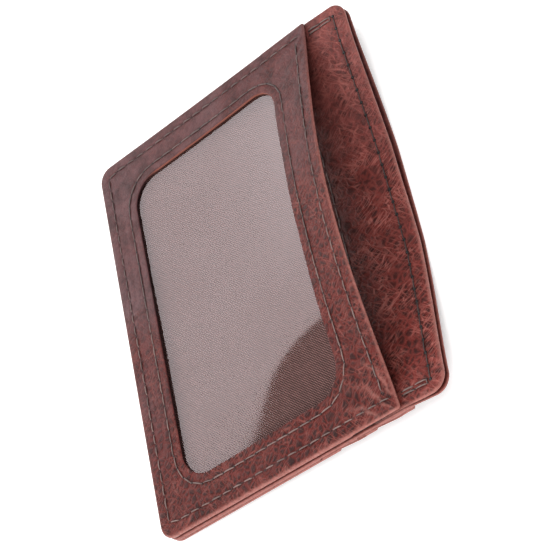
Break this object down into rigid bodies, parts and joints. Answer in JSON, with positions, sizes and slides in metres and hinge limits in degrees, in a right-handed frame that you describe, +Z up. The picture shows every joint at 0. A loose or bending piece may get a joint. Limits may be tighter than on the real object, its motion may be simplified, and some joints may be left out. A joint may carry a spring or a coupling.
{
  "type": "card wallet",
  "caption": "Slim leather card wallet with an ID pocket behind a clear window, one open centre pocket and stepped card slots on its back.",
  "frame": {"origin": "on the surface that the wallet lies on, under the centre of its outline", "axes": "+X across the wallet, +Y towards the open edge of its pockets, +Z up out of the window"},
  "size_m": [0.1, 0.079, 0.0164],
  "materials": {
    "front_leather": "oxblood brown pull-up leather, satin, mottled, fine creases",
    "facing_leather": "the same leather, with a coarser natural grain",
    "back_leather": "the same leather, skived thinner, satin",
    "id_cloth": "mauve brown lining cloth with a fine diagonal grid weave",
    "pocket_cloth": "dark brown lining cloth",
    "thread": "dark brown waxed sewing thread",
    "window_film": "clear soft vinyl film, glossy"
  },
  "bodies": {
    "root": {"window_frame": "front_leather", "window_film": "window_film", "facing_strip": "facing_leather", "id_lining": "id_cloth", "pocket_lining_front": "pocket_cloth", "pocket_lining_back": "pocket_cloth", "back_panel": "back_leather", "slot_panel_upper": "back_leather", "slot_panel_middle": "back_leather", "slot_panel_lower": "back_leather", "slot_tail_upper": "pocket_cloth", "slot_tail_middle": "pocket_cloth", "window_thread": "thread", "frame_mouth_thread": "thread", "facing_top_thread": "thread", "facing_foot_thread": "thread", "back_top_thread": "thread", "slot_thread_upper": "thread", "slot_thread_middle": "thread", "slot_thread_lower": "thread", "tail_thread_upper": "thread", "tail_thread_middle": "thread", "side_thread_front": "thread", "side_thread_back": "thread", "tack_thread_left": "thread", "tack_thread_right": "thread"}
  },
  "joints": []
}
